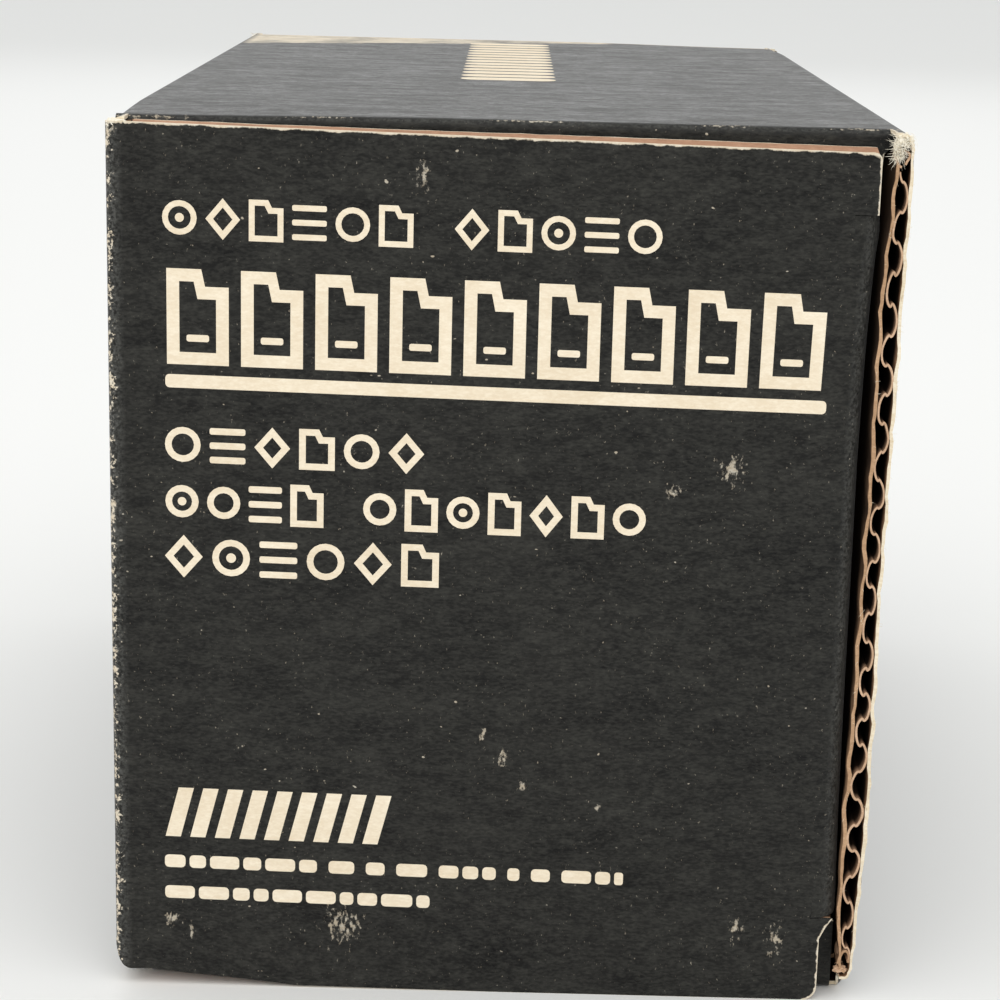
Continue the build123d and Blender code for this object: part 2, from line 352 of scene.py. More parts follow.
def torn_strip(tree, place):
    """Where tape has torn the print off the top panel at its rear edge."""
    parts = add(tree, "ShaderNodeSeparateXYZ", {0: place}).outputs
    slant = calc(tree, "MULTIPLY_ADD", parts["X"], 0.36, 57.2)
    ragged = calc(tree, "MULTIPLY_ADD", grain(tree, place, 0.16, 2.0, 5.0, 0.65), 9.0, slant)
    behind = ramp(tree, calc(tree, "SUBTRACT", parts["Y"], ragged), -0.2, 0.4)
    across = calc(tree, "MULTIPLY", ramp(tree, parts["X"], 16.0, 14.0), ramp(tree, parts["X"], -41.3, -40.0))
    on_top = ramp(tree, parts["Z"], top - 1.0, top - 0.6)
    blotch = ramp(tree, grain(tree, place, 0.13, 5.0, 4.0, 0.68, (0.8, 0.5, 1)), 0.36, 0.58)
    streak = ramp(tree, grain(tree, place, 0.7, 8.0, 3.0, 0.6, (0.3, 1, 1)), 0.35, 0.6)
    share = calc(tree, "MULTIPLY_ADD", blotch, 0.6, calc(tree, "MULTIPLY_ADD", streak, 0.24, 0.16))
    on_strip = calc(tree, "MULTIPLY", behind, across)
    return calc(tree, "MULTIPLY", on_strip, calc(tree, "MULTIPLY", on_top, share))


def black_print(name, seed, cut_width, fold_width, patches=(), attribute="rest_place", torn=None):
    """Black print on pale paper, with its wear. Patches are (centre, reach) in millimetres."""
    material, tree, shader = new_material(name)
    place = place_on(tree, attribute)
    from_cut = add(tree, "ShaderNodeAttribute", attribute_name="from_cut").outputs["Fac"]
    from_fold = add(tree, "ShaderNodeAttribute", attribute_name="from_fold").outputs["Fac"]
    bare = torn(tree, place) if torn else None
    worn_print(tree, shader, place, from_cut, from_fold, seed, cut_width, fold_width, patches, bare)
    return material


def worn_print(tree, shader, place, from_cut, from_fold, seed, cut_width, fold_width, patches, bare=None):
    """Joins fibres, wear and scuffs into the print's colour, sheen and relief."""
    fibre = use(tree, paper_fibre, {"Place": place, "Seed": seed})
    wear = use(
        tree,
        print_wear,
        {
            "Place": place,
            "From Cut": from_cut,
            "From Fold": from_fold,
            "Cut Width": cut_width,
            "Fold Width": fold_width,
            "Seed": seed,
        },
    )
    worn = wear["Wear"]
    for number, (centre, reach) in enumerate(patches):
        patch = use(tree, scuff, {"Place": place, "Centre": centre, "Reach": reach, "Seed": seed + number})
        worn = calc(tree, "MAXIMUM", worn, patch["Mask"])
    if bare is not None:
        worn = calc(tree, "MAXIMUM", worn, bare)
    streak = ramp(tree, grain(tree, place, 0.32, seed + 2.0, 5.0, 0.74, (0.4, 1, 1)), 0.34, 0.68)
    rub_and_shade = calc(tree, "MULTIPLY_ADD", streak, 0.26, calc(tree, "MULTIPLY", fibre["Fibre"], 0.52))
    ink = mix(tree, rub_and_shade, BLACK_PRINT, RUBBED_PRINT)
    ink = mix(tree, calc(tree, "MULTIPLY", wear["Rub"], 0.8), ink, SCUFFED_PRINT)
    paper = mix(tree, fibre["Fibre"], CREAM_SHADE, WORN_PAPER)
    sheen = calc(tree, "MULTIPLY_ADD", fibre["Fibre"], 0.24, calc(tree, "MULTIPLY_ADD", streak, 0.2, 0.27))
    tree.links.new(calc(tree, "MULTIPLY_ADD", worn, 0.3, sheen, clamp=True), shader.inputs["Roughness"])
    shader.inputs["Specular IOR Level"].default_value = 0.17
    shader.inputs["Sheen Weight"].default_value = 0.06
    shader.inputs["Sheen Roughness"].default_value = 0.45
    height = calc(tree, "MULTIPLY_ADD", worn, 0.6, fibre["Height"])
    finish_surface(tree, shader, mix(tree, worn, ink, paper), height, 0.8, 0.12 * MM)


# Rubbed places: (centre, reach), in millimetres
CLOSURE_SCUFFS = [
    ((-42.3, -73, 96.6), (1.6, 2, 2.2)),
    ((24.6, -73, 61.5), (2.6, 2, 3.0)),
    ((18.4, -73, 59.0), (1.6, 2, 1.6)),
    ((-1.5, -73, 31.0), (1.2, 2, 1.4)),
    ((0.8, -73, 28.0), (1.4, 2, 2.2)),
    ((3.0, -73, 25.0), (1.0, 2, 1.4)),
    ((11.5, -73, 22.5), (0.9, 2, 1.0)),
    ((-17.0, -73, 7.8), (3.6, 2, 3.4)),
    ((-36.0, -73, 8.0), (1.7, 2, 1.3)),
    ((-33.8, -73, 6.6), (0.5, 2, 2.6)),
    ((27.6, -73, 8.4), (1.5, 2, 2.4)),
    ((32.0, -73, 7.2), (1.5, 2, 3.6)),
    ((-9.0, -73, 92.6), (1.2, 2, 2.8)),
]
CREASE_SCUFFS = [
    ((36.0, -69.3, 97.9), (4.6, 0.7, 0.3)),
    ((22.0, -69.3, 97.9), (5.0, 0.6, 0.25)),
    ((2.0, -69.3, 97.9), (9.0, 0.6, 0.25)),
    ((-20.0, -69.3, 97.9), (6.0, 0.6, 0.25)),
    ((-36.0, -69.3, 97.7), (6.0, 0.7, 0.4)),
]
TUBE_SCUFFS = [
    ((42.0, -71.5, 97.0), (1.5, 1.6, 1.6)),
    ((-41.5, -70.5, 97.5), (1.6, 2.6, 1.6)),
]

closure_print = {
    "front": black_print("closure_print", 3.1, 0.30, 1.5, CLOSURE_SCUFFS),
    "rear": black_print("rear_closure_print", 8.6, 0.26, 1.3),
}
flap_print = black_print("flap_print", 5.4, 0.2, 0.45, CREASE_SCUFFS)
wall_print = black_print("wall_print", 1.7, 0.5, 0.8, TUBE_SCUFFS, torn=torn_strip)
kraft_paper = plain_paper("kraft_paper", KRAFT_LIGHT, KRAFT_DARK, 2.2)
# Painted shade on the lining in the gap beside the tuck flap
lining_paper = plain_paper("lining_paper", KRAFT_LIGHT, KRAFT_DARK, 2.9, shaded=painted_shade_beside_flap)
# Painted shade inside the board, on the flutes and on the outer liner's inner side
fluted_paper = plain_paper("fluted_paper", MEDIUM_LIGHT, MEDIUM_DARK, 4.4, shaded=painted_shade_in_flutes)
inner_side_paper = plain_paper("inner_side_paper", KRAFT_LIGHT, KRAFT_DARK, 3.3, shaded=painted_shade_in_flutes)
raw_medium_paper = plain_paper("raw_medium_paper", RAW_MEDIUM_LIGHT, RAW_MEDIUM_DARK, 5.2)
raw_kraft_paper = plain_paper("raw_kraft_paper", RAW_KRAFT_LIGHT, RAW_KRAFT_DARK, 5.9)
torn_paper = plain_paper("torn_paper", TORN_LIGHT, TORN_DARK, 6.1)
frayed_paper = plain_paper("frayed_paper", FRAYED_LIGHT, FRAYED_DARK, 6.6)
closure_medium_paper = plain_paper("closure_medium_paper", CLOSURE_MEDIUM_LIGHT, CLOSURE_MEDIUM_DARK, 5.5)
pale_print = plain_paper("pale_print", PRINTED_CREAM, PRINTED_CREAM_SHADE, 9.3, 0.4)
glue_film = plain_paper("glue_film", DRIED_GLUE, GLUE_SHADE, 7.7)


# ---------------------------------------------------------------- mesh helpers

def smooth(value, low, high):
    """0 up to low and 1 from high on, with an even start and end."""
    share = min(1.0, max(0.0, (value - low) / (high - low)))
    return share * share * (3 - 2 * share)


def along_table(table, value):
    """A value read off a list of (place, value), on straight lines between them."""
    for (low, first), (high, second) in zip(table, table[1:]):
        if value <= high:
            return first + (second - first) * max(0.0, (value - low) / (high - low))
    return table[-1][1]


def keep_piece(name, mesh_builder, materials, angle=0.0):
    """Turns a finished bmesh of the front end, in millimetres, into a piece in metres at the end that the
    angle gives, with sharp edges where it is folded."""
    turn = Matrix.Rotation(angle, 3, "Z")
    bmesh.ops.rotate(mesh_builder, cent=(0, 0, 0), matrix=turn, verts=mesh_builder.verts)
    bmesh.ops.scale(mesh_builder, vec=(MM, MM, MM), verts=mesh_builder.verts)
    mesh = bpy.data.meshes.new(name)
    mesh_builder.to_mesh(mesh)
    mesh_builder.free()
    for material in materials:
        mesh.materials.append(material)
    mesh.polygons.foreach_set("use_smooth", [True] * len(mesh.polygons))
    mesh.set_sharp_from_angle(angle=SHARP_ANGLE)
    piece = bpy.data.objects.new(name, mesh)
    bpy.context.scene.collection.objects.link(piece)
    return piece


def bend_between(piece, body, other_body, start, end, angle):
    """Bakes the piece's transform into its mesh. body, other_body, start, end and angle are not used."""
    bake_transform(piece)


def node_copy(node):
    """A CAD node's shape in millimetres, merged, with its flat faces whole."""
    copy = bmesh.new()
    copy.from_mesh(frame["nodes"][node].data)
    bmesh.ops.scale(copy, vec=(1 / MM, 1 / MM, 1 / MM), verts=copy.verts)
    bmesh.ops.remove_doubles(copy, verts=copy.verts, dist=SAME_PLACE)
    bmesh.ops.dissolve_limit(
        copy, angle_limit=FLAT_ANGLE, verts=copy.verts, edges=copy.edges, delimit={"NORMAL"}
    )
    return copy


def slice_at(mesh_builder, axis, places):
    """Cuts a piece across at the given places, so that its surface can bend and hold values."""
    normal = Vector((0, 0, 0))
    normal[axis] = 1
    for place in places:
        geometry = mesh_builder.verts[:] + mesh_builder.edges[:] + mesh_builder.faces[:]
        bmesh.ops.bisect_plane(
            mesh_builder, geom=geometry, dist=1e-4, plane_co=normal * place, plane_no=normal
        )


def evenly(low, high, spacing):
    """Places between two others at about the given spacing, without the two."""
    count = max(1, round((high - low) / spacing))
    return [low + (high - low) * step / count for step in range(1, count)]


def note_places(mesh_builder, cut_edges, fold_lines):
    """Stores where each point lies at rest, and how far it is from a cut edge and from the nearest fold."""
    place = mesh_builder.verts.layers.float_vector.new("rest_place")
    from_cut = mesh_builder.verts.layers.float.new("from_cut")
    from_fold = mesh_builder.verts.layers.float.new("from_fold")
    points = []
    for start, end in cut_edges:
        steps = max(1, int((end - start).length / 0.3))
        points += [start.lerp(end, step / steps) for step in range(steps + 1)]
    tree = kdtree.KDTree(len(points))
    for number, point in enumerate(points):
        tree.insert(point, number)
    tree.balance()
    for vert in mesh_builder.verts:
        vert[place] = vert.co * MM
        vert[from_cut] = tree.find(vert.co)[2]
        gaps = []
        for corner, along in fold_lines:
            offset = vert.co - corner
            gaps.append((offset - along * offset.dot(along)).length)
        vert[from_fold] = min(gaps)


def cut_edges_of(mesh_builder, butts):
    """The edges between the printed side, slot 0, and the raw rims, slot 1, without those where the print
    goes on in another piece or round a fold."""
    cuts = []
    for edge in mesh_builder.edges:
        sides = {face.material_index for face in edge.link_faces}
        middle = (edge.verts[0].co + edge.verts[1].co) / 2
        if 0 in sides and 1 in sides and not butts(middle):
            cuts.append((edge.verts[0].co.copy(), edge.verts[1].co.copy()))
    return cuts


def move_points(mesh_builder, shift):
    """Moves each point by what the shift gives for its place."""
    for vert in mesh_builder.verts:
        vert.co += shift(vert.co)


def thin_sheet(rows, thickness):
    """A sheet of even thickness about a grid of points. Its rims take slot 1."""
    sheet = bmesh.new()
    count, width = len(rows), len(rows[0])
    near, far = [], []
    for i in range(count):
        near.append([])
        far.append([])
        for j in range(width):
            along = rows[min(i + 1, count - 1)][j] - rows[max(i - 1, 0)][j]
            across = rows[i][min(j + 1, width - 1)] - rows[i][max(j - 1, 0)]
            half = along.cross(across).normalized() * thickness / 2
            near[i].append(sheet.verts.new(rows[i][j] + half))
            far[i].append(sheet.verts.new(rows[i][j] - half))
    for i in range(count - 1):
        for j in range(width - 1):
            for side in (near, far):
                sheet.faces.new((side[i][j], side[i + 1][j], side[i + 1][j + 1], side[i][j + 1]))
    border = [(i, 0) for i in range(count)] + [(count - 1, j) for j in range(1, width)]
    border += [(i, width - 1) for i in range(count - 2, -1, -1)] + [(0, j) for j in range(width - 2, 0, -1)]
    for (i, j), (k, l) in zip(border, border[1:] + border[:1]):
        sheet.faces.new((near[i][j], near[k][l], far[k][l], far[i][j])).material_index = 1
    bmesh.ops.recalc_face_normals(sheet, faces=sheet.faces)
    return sheet


def rough(point, scale, seed):
    """A smooth random vector that depends on the place alone."""
    place = Vector(point) * scale + Vector((seed, -seed, 2 * seed))
    return Vector([noise.noise(place + ACROSS * step) for step in (0.0, 31.7, 67.3)])


# ---------------------------------------------------------------- how the board has given way

# (height, millimetres to the right) of the closure's free side, and of the right wall's raw edge
FREE_SIDE_PUSH = [
    (0, 0), (9, 0.0), (10.8, 0.35), (23, 0.1), (35, 0), (63, -0.1), (75, 0.1), (84.5, 0.5), (87, 0.8),
    (89, 0.7), (96, 0.7),
]
LINING_LEAN = [
    (0, -0.3), (4.8, -0.5), (8, -0.6), (11.5, -0.8), (23, -0.78), (35, -0.42), (47, -0.36), (61, -0.16),
    (75, -0.16), (83, 0.02), (87, 0.15), (91, 0.55), (96, 0.6),
]
WALL_LEAN = [
    (0, -1.5), (1.2, -1.7), (3, -1.5), (5, -1.42), (8, -1.37), (11.5, -1.22), (17, -0.86), (24, -0.8),
    (35, -0.8), (47, -0.94), (61, -0.76), (75, -0.56), (83, -0.5), (87, -0.34), (91, -0.28), (98, -0.28),
]
# (place across, millimetres up) of the closure's bottom edge
BOTTOM_DROP = [
    (-41.5, 0), (-38, 0.12), (-35, -0.22), (-28, -0.68), (-22, -1.22), (0, -1.05), (31, -0.5), (40, -0.36),
]
FLUTE_PITCH = 6.28
CORNER_SAG = 0.34
CORNER_WIDTH = 1.8  # the rounded corner at the closure's foot
CORNER_HEIGHT = 3.4
CLOSURE_CORNER = 1.5
PRINT_LIFT = 0.018
PRINT_RECESS = 1.4 * PRINT_LIFT  # how far the sheet steps back under its print
RAW_SIDE = 39.3  # how far across the raw walls begin


def free_side_push(point):
    """The closure's free side and its fold stand out a little to the right."""
    reach = smooth(point.x, 20, 36) * (1 - smooth(point.x, 38.6, 39.1)) * (1 - smooth(point.y, -70.5, -63))
    return ACROSS * along_table(FREE_SIDE_PUSH, point.z) * reach


def raw_wall_lean(point):
    """The right wall leans in towards its raw edge, and its foot is crushed up and in."""
    reach = -65.5 + 15.5 * smooth(point.x, 40.2, 42.2)
    start = RAW_SIDE - 1.8 * smooth(point.z, 3, 8)
    side = smooth(point.x, start, start + 2.2)
    at_rim = smooth(point.x, 38.9, 39.4) * (1 - smooth(point.y, -70.2, -69.0)) * (1 - smooth(point.z, 3, 6))
    near = (1 - smooth(point.y, -72.4, reach)) * max(side, at_rim)
    if near == 0:
        return STILL
    lift = 0.3 * max(0.0, 8.0 - point.z)
    across = min(1.0, max(0.0, (point.x - 39.9) / 2.4))
    lean = (1 - across) * along_table(LINING_LEAN, point.z) + across * along_table(WALL_LEAN, point.z)
    washboard = 0.08 * math.sin(point.z * 2 * math.pi / FLUTE_PITCH + 1.1) + 0.06 * noise.noise(point * 0.8)
    return (ACROSS * (lean + washboard) + UP * lift) * near


def top_corner_sag(point):
    """The top panel's front left corner is pressed down."""
    near = (1 - smooth(point.x, -41, -8)) * (1 - smooth(point.y, -69.5, -52)) * smooth(point.z, 91, 96)
    return UP * -CORNER_SAG * near


def foot_round(point):
    """The front left corner at the bottom is rounded off and crushed up behind the closure."""
    near = (1 - smooth(point.y, -69.6, -67.6)) * (1 - smooth(point.x, -38.6, -37.6))
    moved = point.copy()
    if near == 0:
        return moved - point
    if point.z < 4.0:
        moved.z = 1.75 + 0.56 * point.z if point.y > front + board - 0.1 or point.z < 1.5 else point.z
    corner = Vector((left + CORNER_WIDTH, point.y, crease_low.z + CORNER_HEIGHT))
    offset = moved - corner
    if offset.x < 0 and offset.z < 0:
        length = Vector((offset.x / CORNER_WIDTH, offset.z / CORNER_HEIGHT)).length
        if length > 0.8:
            moved = corner + offset * (1 - (1 - 1 / length) * smooth(length, 0.8, 1.0))
    return (moved - point) * near


def bottom_edge_drop(point):
    """The closure's bottom edge hangs a little lower than a straight cut, and nearly touches the table."""
    if point.y > front + 2 * liner or point.z > 9:
        return STILL
    return UP * along_table(BOTTOM_DROP, point.x) * (1 - smooth(point.z, 2, 9))


def tight_corner(point):
    """The closure's free upper corner is cut tighter than its rounding."""
    upper_edge = sagged(closure_high.x, crease_high.z)
    offset = point - Vector((closure_high.x - CLOSURE_CORNER, point.y, upper_edge - CLOSURE_CORNER))
    if offset.x <= 0 or offset.z <= 0:
        return STILL
    towards_corner = (2 * offset.x * offset.z / offset.length_squared) ** 2
    return offset * 0.2 * towards_corner * min(1.0, offset.length / CLOSURE_CORNER)


def set_back(point):
    """The closure's face steps back under its print, which then fills the carton's outline."""
    return INWARDS * PRINT_RECESS if point.y < front + 0.01 else STILL


def give(point):
    """All that the board has given way at one place."""
    return free_side_push(point) + raw_wall_lean(point) + top_corner_sag(point)


def give_both_ends(point):
    """The same for a piece that reaches from the front end to the rear end."""
    if point.y < 0:
        return give(point) + foot_round(point)
    turned = Vector((-point.x, -point.y, point.z))
    shift = give(turned) + foot_round(turned)
    return Vector((-shift.x, -shift.y, shift.z))


# ---------------------------------------------------------------- skins that bend at the folds

def end_face(mesh_builder, direction):
    """The flat rim face that lies furthest in a direction."""
    facing = [face for face in mesh_builder.faces if face.normal.dot(direction) > 0.99]
    return max(facing, key=lambda face: face.calc_center_median().dot(direction))


def grow(mesh_builder, face, move):
    """Lengthens a sheet from its end face by one step, which move(verts) then puts in place. Returns the
    new end face."""
    grown = bmesh.ops.extrude_face_region(mesh_builder, geom=[face])["geom"]
    move([item for item in grown if isinstance(item, bmesh.types.BMVert)])
    mesh_builder.faces.remove(face)
    return [item for item in grown if isinstance(item, bmesh.types.BMFace)][0]


def folded_skin(node, axis_place, axis, direction, angle, fold_steps=9):
    """A flap's printed liner together with the paper of its fold, as one sheet. direction runs from the flap
    to the fold, and the sheet then turns about the axis."""
    skin = node_copy(node)
    face = end_face(skin, direction)
    gap = (axis_place - face.calc_center_median()).dot(direction)
    flat_steps = max(1, round(gap / 0.4))
    onwards = direction * gap / flat_steps
    turn = Matrix.Rotation(angle / fold_steps, 3, axis)
    lengthen = lambda verts: bmesh.ops.translate(skin, verts=verts, vec=onwards)
    for _ in range(flat_steps):
        face = grow(skin, face, lengthen)
    fold = lambda verts: bmesh.ops.rotate(skin, cent=axis_place, matrix=turn, verts=verts)
    for _ in range(fold_steps):
        face = grow(skin, face, fold)
    bmesh.ops.remove_doubles(skin, verts=skin.verts, dist=SAME_PLACE)
    bmesh.ops.recalc_face_normals(skin, faces=skin.faces)
    return skin


def mark_print(skin, printed_way, axis_place, axis, on_fold):
    """Slot 0 for faces that look the printed way, or outwards on the fold. Slot 1 for rims and the plain
    side."""
    for face in skin.faces:
        middle = face.calc_center_median()
        if on_fold(middle):
            offset = middle - axis_place
            offset -= axis * offset.dot(axis)
            outwards = face.normal.dot(offset) > 0.5 * offset.length
        else:
            outwards = face.normal.dot(printed_way) > 0.5
        face.material_index = 0 if outwards else 1


def closure_skin(end, angle):
    """The closure's printed face and its bend onto the side wall."""
    axis_place = Vector((hinge.x, hinge.y, 0))
    skin = folded_skin("front_closure_outer_liner", axis_place, UP, -ACROSS, -math.pi / 2)
    mark_print(skin, -INWARDS, axis_place, UP, lambda middle: middle.x < hinge.x)

    def butts(point):
        on_wall = point.x < left + liner and point.y > hinge.y - 0.01
        at_tuck = abs(point.x - tuck_axis.x) < 0.02 and 10 < point.z < 89
        beside_fold = tuck_axis.x - 0.01 < point.x < closure_high.x - 0.02 and 9.5 < point.z < 89.6
        on_table = point.z < 3 and point.x < 28
        return on_wall or at_tuck or beside_fold or on_table

    cuts = cut_edges_of(skin, butts)
    for face in skin.faces:
        middle = face.calc_center_median()
        if butts(middle) and middle.z > 5:
            face.material_index = 0
    slice_at(skin, 2, evenly(0, 8, 0.5) + evenly(8, 12, 0.5) + evenly(12, 84, 2.0) + evenly(84, 97, 0.8))
    slice_at(skin, 0, evenly(left, -38, 0.5) + evenly(-38, 34, 2.0) + evenly(34, closure_high.x, 0.5))
    note_places(skin, cuts, [(Vector((left, front, 0)), UP)])
    move_points(skin, tight_corner)
    move_points(skin, lambda point: free_side_push(point) + foot_round(point) + set_back(point))
    move_points(skin, bottom_edge_drop)
    materials = [closure_print[end], torn_paper]
    piece = keep_piece(f"{end}_closure_skin", skin, materials, angle)
    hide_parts(f"{end}_closure_outer_liner", f"{end}_closure_crease")
    wall_side, closure_side = (hinge.x - 0.035, hinge.y + 0.035, 0), (hinge.x + 0.035, hinge.y - 0.035, 0)
    bend_between(piece, "tube", f"{end}_closure", wall_side, closure_side, angle)


def tuck_skin(end, angle):
    """The tuck flap's printed face and its bend from the closure, with the fold's ends let out to the
    shoulders."""
    tuck_low, tuck_high = edges_of("front_tuck_flap_outer_liner")
    axis_place = Vector((tuck_axis.x, tuck_axis.y, 0))
    reach = tuck_high.x - tuck_axis.x
    skin = folded_skin("front_tuck_flap_outer_liner", axis_place, UP, -INWARDS, -math.pi / 2)
    mark_print(skin, ACROSS, axis_place, UP, lambda middle: middle.y < tuck_axis.y)
    fold_only = lambda point: point.y < tuck_low.y + 2.5
    cuts = cut_edges_of(skin, fold_only)
    for face in skin.faces:
        if fold_only(face.calc_center_median()) and abs(face.normal.y) < 0.9:
            face.material_index = 0
    slice_at(skin, 2, evenly(tuck_low.z, 14, 0.8) + evenly(14, 84, 2.0) + evenly(84, tuck_high.z, 0.8))
    slice_at(skin, 1, evenly(tuck_axis.y, -62, 0.8) + evenly(-62, tuck_high.y, 2.0))
    note_places(skin, cuts, [(Vector((tuck_high.x, tuck_axis.y - reach, 0)), UP)])

    def meet_shoulders(point):
        on_fold = 1 - smooth(point.y, -70.6, -69.6)
        upper = smooth(point.z, tuck_high.z - 4, tuck_high.z) * 0.42
        lower = (1 - smooth(point.z, tuck_low.z, tuck_low.z + 4)) * 0.42
        return free_side_push(point) + UP * (upper - lower) * on_fold + set_back(point)

    move_points(skin, meet_shoulders)
    materials = [closure_print[end], torn_paper]
    piece = keep_piece(f"{end}_tuck_skin", skin, materials, angle)
    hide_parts(f"{end}_tuck_flap_outer_liner", f"{end}_tuck_crease")
    start, stop = (tuck_axis.x, front, 0), (tuck_high.x, tuck_low.y, 0)
    bend_between(piece, f"{end}_closure", f"{end}_tuck_flap", start, stop, angle)


def dust_skin(end, angle, panel):
    """A dust flap's printed face and its bend from the top or bottom panel. The ends of the top one's bend
    run out to the corners."""
    flap_node = f"front_{panel}_dust_flap_outer_liner"
    flap_low, flap_high = edges_of(flap_node)
    side = 1 if panel == "top" else -1
    panel_face = top if side > 0 else 0.0
    axis_z = joints[f"front_{panel}_dust_hinge"]["pos_m"][2] / MM
    axis_place = Vector((0, dust_axis.y, axis_z))
    root = flap_high.z if side > 0 else flap_low.z
    skin = folded_skin(flap_node, axis_place, ACROSS, UP * side, -side * math.pi / 2)
    mark_print(skin, -INWARDS, axis_place, ACROSS, lambda middle: (middle.z - axis_z) * side > 0)

    def clean(point):
        sheltered = side < 0 and point.x > 38 and point.z < 14
        return abs(point.z - panel_face) < 3.2 or sheltered

    cuts = cut_edges_of(skin, clean)
    slice_at(skin, 0, evenly(flap_low.x, -35, 0.6) + evenly(-35, 34, 2.0) + evenly(34, flap_high.x, 0.5))
    slice_at(skin, 2, evenly(root, root - side * 12, 0.6) + evenly(root - side * 12, root - side * 40, 2.0))
    note_places(skin, cuts, [(Vector((0, flap_low.y, panel_face)), ACROSS)])

    def meet_corners(point):
        wider = 1.6 if point.x > 0 else 2.9
        near_panel = 1 - smooth(abs(point.z - panel_face), 1.3, 3.4)
        spread = math.copysign(wider * smooth(abs(point.x), 30, 38.9), point.x)
        return ACROSS * spread * near_panel + top_corner_sag(point)

    if side > 0:
        move_points(skin, meet_corners)
    piece = keep_piece(f"{end}_{panel}_dust_skin", skin, [flap_print, torn_paper], angle)
    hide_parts(f"{end}_{panel}_dust_flap_outer_liner", f"{end}_{panel}_dust_crease")
    start, stop = (0, dust_axis.y, panel_face), (0, flap_low.y, root)
    bend_between(piece, "tube", f"{end}_{panel}_dust_flap", start, stop, angle)


# ---------------------------------------------------------------- the tube's sheets

def near_the_ends(spacing, depth):
    """Places along the tube that lie close together near both ends."""
    fine = evenly(-depth, 0, spacing)
    return [wall_front + depth + place for place in fine] + [-wall_front - depth - place for place in fine]


def ragged_rim(point, seed):
    """The raw walls' torn edges wander a little in and out at the carton's ends."""
    if point.x * point.y >= 0 or abs(point.x) <= RAW_SIDE:
        return STILL
    near = smooth(abs(point.y), -wall_front - 1.2, -wall_front)
    return rough(point, 1.3, seed) * 0.16 * near + rough(point, 0.35, seed + 3) * 0.2 * near


def tube_skin():
    """The tube's printed sheet, with its raw edges torn and its corners crushed."""
    skin = node_copy("tube_outer_liner")
    middle_height = Vector((0, 0, top / 2))
    for face in skin.faces:
        place = face.calc_center_median()
        corner_rim = abs(face.normal.x) > 0.7 and abs(place.y) > 69 and abs(place.x) < 41
        away = place - middle_height
        away.y = 0
        if abs(face.normal.y) > 0.7 or corner_rim:
            face.material_index = 1
        else:
            face.material_index = 0 if face.normal.dot(away) > 0 else 2

    def butts(point):
        at_dust = abs(abs(point.y) - abs(dust_axis.y)) < 0.1 and abs(point.x) < 39.5
        at_closure = point.x * point.y > 0 and abs(point.x) > -left - 1 and abs(point.y) < -hinge.y + 0.1
        return at_dust or at_closure

    cuts = cut_edges_of(skin, butts)
    slice_at(skin, 1, near_the_ends(0.5, 8) + evenly(wall_front + 8, -wall_front - 8, 6.0))
    slice_at(skin, 2, evenly(0, top, 1.0))
    slice_at(skin, 0, evenly(left, right, 2.5))
    corners = [Vector((x, 0, z)) for x in (left, right) for z in (0, top)]
    fold_lines = [(corner, INWARDS) for corner in corners]
    fold_lines += [(Vector((0, side * (dust_axis.y - 1), z)), ACROSS) for side in (1, -1) for z in (0, top)]
    note_places(skin, cuts, fold_lines)
    move_points(skin, lambda point: ragged_rim(point, 4.0))
    move_points(skin, lambda point: UP * -PRINT_RECESS if point.z > top - 0.01 else STILL)
    move_points(skin, give_both_ends)
    move_points(skin, lambda point: UP * min(0.0, top - PRINT_RECESS - point.z))
    piece = keep_piece("tube_skin", skin, [wall_print, torn_paper, inner_side_paper])
    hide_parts("tube_outer_liner")
    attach(piece, "tube")


def tube_lining():
    """The tube's plain inner sheet, whose raw edges follow the outer one's."""
    lining = node_copy("tube_inner_liner")
    for face in lining.faces:
        face.material_index = 1 if abs(face.normal.y) > 0.7 else 0
    slice_at(lining, 1, near_the_ends(0.5, 8) + evenly(wall_front + 8, -wall_front - 8, 8.0))
    slice_at(lining, 2, evenly(0, top, 1.0))
    slice_at(lining, 0, evenly(left, right, 4.0))
    move_points(lining, lambda point: ragged_rim(point, 9.0))
    move_points(lining, give_both_ends)
    piece = keep_piece("tube_lining", lining, [lining_paper, raw_kraft_paper])
    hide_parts("tube_inner_liner")
    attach(piece, "tube")


def hooked_wave(low, high, pitch, chance):
    """A crushed flute line from one height to another: (height, -1 to 1 across the board), with a small hook
    in the middle of each flank."""
    line = []
    height = low
    while height < high:
        length = pitch * chance.uniform(0.93, 1.07)
        hook, swing = chance.uniform(0.085, 0.125), chance.uniform(0.2, 0.3)
        for step in range(28):
            turn = 2 * math.pi * step / 28
            across = (math.cos(turn) + swing * math.cos(3 * turn)) / (1 + swing)
            line.append((height + length * (step / 28 + hook * math.sin(2 * turn)), across))
        height += length
    return [(place, across) for place, across in line if low - 1 < place < high + 0.5]


